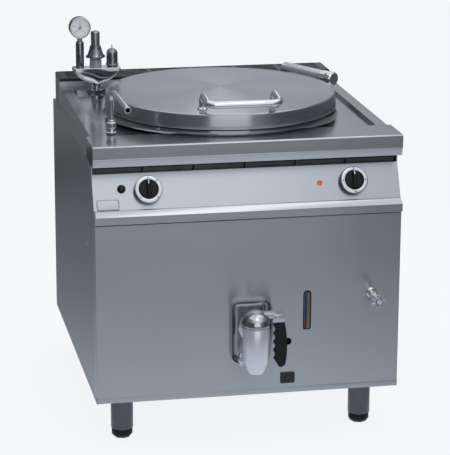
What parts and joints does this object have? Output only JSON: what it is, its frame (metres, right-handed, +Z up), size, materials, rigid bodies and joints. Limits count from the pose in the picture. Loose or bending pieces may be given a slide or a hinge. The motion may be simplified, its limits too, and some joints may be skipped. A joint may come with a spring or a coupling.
{
  "type": "steam jacketed kettle",
  "caption": "Free-standing gas-heated boiling kettle: round steam-jacketed vessel under a hinged lid, slanted control panel, front drain tap, safety group and levelling feet.",
  "frame": {"origin": "on the floor, under the middle of the whole kettle's box", "axes": "+X to the right seen from the front, +Y from the front to the back, +Z up"},
  "size_m": [0.85, 1.079, 1.0785],
  "materials": {
    "worktop_steel": "fine-ground stainless steel, mirror bright",
    "panel_steel": "stainless steel with a fine lengthwise grain",
    "duct_steel": "plain mill-finish steel",
    "vessel_steel": "ground stainless steel",
    "lid_steel": "stainless steel ground in circles",
    "polished_chrome": "polished chrome plate",
    "satin_steel": "satin stainless steel",
    "black_enamel": "black vitreous enamel",
    "black_plastic": "black moulded plastic",
    "red_plastic": "dark red moulded plastic",
    "lamp_orange": "orange lens",
    "clear_glass": "clear flat glass",
    "level_glass": "dark blue-tinted glass",
    "needle_black": "black lacquer",
    "cast_brass": "cast brass and copper",
    "burner_steel": "heat-stained stainless steel",
    "mineral_wool": "pressed mineral wool"
  },
  "bodies": {
    "cabinet": {"worktop": "worktop_steel", "side_panel_left": "panel_steel", "side_panel_right": "panel_steel", "front_panel": "panel_steel", "control_panel": "panel_steel", "rear_panel": "duct_steel", "flue_box": "duct_steel", "base_frame": "duct_steel", "combustion_chamber": "duct_steel", "inner_vessel": "vessel_steel", "jacket_shell": "vessel_steel", "drain_pipe": "vessel_steel", "spout_base": "polished_chrome", "riser_pipe": "polished_chrome", "safety_manifold": "polished_chrome", "gauge_case": "polished_chrome", "safety_valve_body": "polished_chrome", "vent_valve_body": "polished_chrome", "drain_valve_body": "polished_chrome", "level_tap_body": "polished_chrome", "knob_bezels": "polished_chrome", "hinge_bracket": "polished_chrome", "leg_sleeves": "satin_steel", "escutcheon_plate": "satin_steel", "flue_grille": "black_enamel", "vent_strip": "black_enamel", "gauge_stem": "black_enamel", "igniter_housing": "black_plastic", "inspection_window": "black_plastic", "selector_switch": "black_plastic", "cable_gland": "black_plastic", "pilot_lamp": "lamp_orange", "gauge_glass": "clear_glass", "sight_glass": "level_glass", "gas_valve": "cast_brass", "gas_pipes": "cast_brass", "water_pipes": "cast_brass", "solenoid_valves": "cast_brass", "burner_tubes": "burner_steel", "insulation": "mineral_wool"},
    "lid": {"lid_shell": "lid_steel", "lid_liner": "lid_steel", "lid_handle": "polished_chrome", "hinge_barrel": "satin_steel"},
    "spout": {"spout_pipe": "polished_chrome"},
    "gas_knob": {"gas_knob": "black_plastic"},
    "switch_knob": {"switch_knob": "black_plastic"},
    "igniter_button": {"igniter_button": "red_plastic"},
    "gauge_needle": {"gauge_needle": "needle_black"},
    "relief_cap": {"safety_valve_cap": "polished_chrome"},
    "vent_pin": {"vent_pin": "polished_chrome"},
    "drain_lever": {"drain_plug": "polished_chrome", "drain_cap": "polished_chrome", "drain_grip": "black_plastic"},
    "drain_lock": {"drain_lock_pin": "polished_chrome"},
    "level_tap": {"level_tap_knob": "polished_chrome"},
    "foot_front_left": {"foot_front_left": "black_plastic"},
    "foot_front_right": {"foot_front_right": "black_plastic"},
    "foot_rear_left": {"foot_rear_left": "black_plastic"},
    "foot_rear_right": {"foot_rear_right": "black_plastic"}
  },
  "joints": [
    {"name": "lid_hinge", "type": "hinge", "parent": "cabinet", "child": "lid", "pos_m": [0.31177, 0.1975, 0.902], "axis": [-0.5, 0.866, 0], "range_deg": [0, 90]},
    {"name": "spout_swivel", "type": "hinge", "parent": "cabinet", "child": "spout", "pos_m": [-0.353, -0.2505, 0.87], "axis": [0, 0, 1], "range_deg": [0, 140]},
    {"name": "gas_knob_turn", "type": "hinge", "parent": "cabinet", "child": "gas_knob", "pos_m": [-0.274, -0.37376, 0.72], "axis": [0, -0.9041, 0.4272], "range_deg": [0, 315]},
    {"name": "switch_knob_turn", "type": "hinge", "parent": "cabinet", "child": "switch_knob", "pos_m": [0.293, -0.37376, 0.72], "axis": [0, 0.9041, -0.4272], "range_deg": [0, 270]},
    {"name": "igniter_press", "type": "slide", "parent": "cabinet", "child": "igniter_button", "axis": [0, 0.9041, -0.4272], "range_m": [0, 0.005], "stiffness_N_per_m": 500, "springref_m": -0.004},
    {"name": "needle_turn", "type": "hinge", "parent": "cabinet", "child": "gauge_needle", "pos_m": [-0.367, 0.2805, 1.047], "axis": [0, 1, 0], "range_deg": [0, 270]},
    {"name": "relief_cap_twist", "type": "hinge", "parent": "cabinet", "child": "relief_cap", "pos_m": [-0.321, 0.2895, 1.035], "axis": [0, 0, 1], "range_deg": [0, 90]},
    {"name": "vent_pin_press", "type": "slide", "parent": "cabinet", "child": "vent_pin", "axis": [0, 0, -1], "range_m": [0, 0.003], "stiffness_N_per_m": 300, "springref_m": -0.002},
    {"name": "drain_lever_turn", "type": "hinge", "parent": "cabinet", "child": "drain_lever", "pos_m": [0, -0.4985, 0.36], "axis": [0, 0, -1], "range_deg": [0, 90]},
    {"name": "drain_lock_lift", "type": "slide", "parent": "cabinet", "child": "drain_lock", "axis": [0, 0, 1], "range_m": [0, 0.008], "stiffness_N_per_m": 200, "springref_m": -0.003},
    {"name": "level_tap_turn", "type": "hinge", "parent": "cabinet", "child": "level_tap", "pos_m": [0.343, -0.4705, 0.41], "axis": [0, -1, 0], "range_deg": [0, 180]},
    {"name": "foot_front_left_adjust", "type": "slide", "parent": "cabinet", "child": "foot_front_left", "axis": [0, 0, -1], "range_m": [0, 0.04]},
    {"name": "foot_front_right_adjust", "type": "slide", "parent": "cabinet", "child": "foot_front_right", "axis": [0, 0, -1], "range_m": [0, 0.04]},
    {"name": "foot_rear_left_adjust", "type": "slide", "parent": "cabinet", "child": "foot_rear_left", "axis": [0, 0, -1], "range_m": [0, 0.04]},
    {"name": "foot_rear_right_adjust", "type": "slide", "parent": "cabinet", "child": "foot_rear_right", "axis": [0, 0, -1], "range_m": [0, 0.04]}
  ]
}
